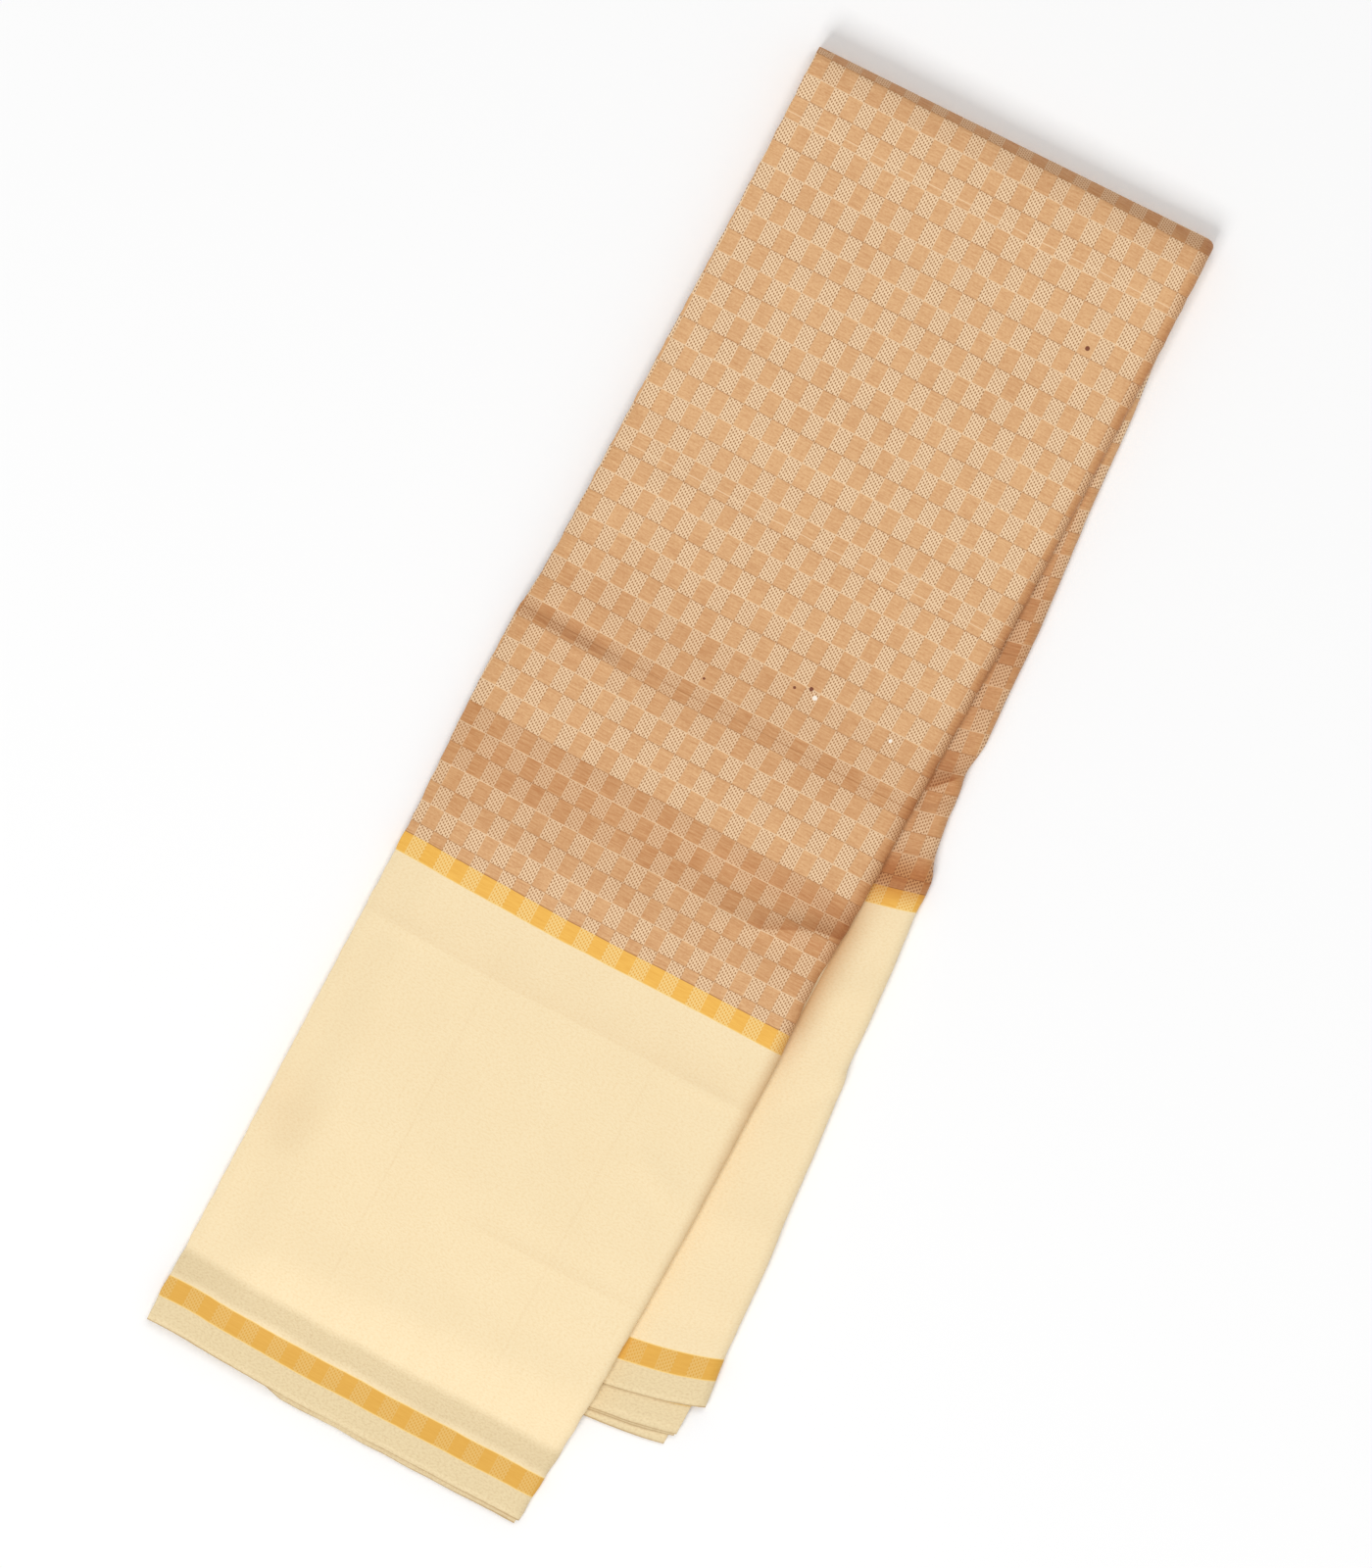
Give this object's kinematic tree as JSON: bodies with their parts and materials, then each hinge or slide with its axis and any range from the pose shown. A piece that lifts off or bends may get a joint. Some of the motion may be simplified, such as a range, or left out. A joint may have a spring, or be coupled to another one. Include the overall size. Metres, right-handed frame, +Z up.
{
  "type": "folded silk saree",
  "caption": "Silk saree folded lengthwise into a long flat strip and once across, lying flat, with checked field and plain bordered ends.",
  "frame": {"origin": "middle of the footprint, on the surface that the saree lies on", "axes": "+Y along the folded strip towards its turn, +X to the side where the lower run leans out, +Z up"},
  "size_m": [0.2322, 0.6266, 0.018],
  "materials": {
    "checked_silk": "tan and cream checked silk with a soft sheen, gold check bands and plain cream borders",
    "border_silk": "plain cream silk with fine ribs, a gold check band and a soft sheen",
    "layered_silk": "folded edges and selvedges of the inner layers of silk"
  },
  "bodies": {
    "root": {"upper_stretch": "checked_silk", "turn_stretch": "checked_silk", "lower_stretch": "border_silk", "hidden_layers": "layered_silk"}
  },
  "joints": []
}
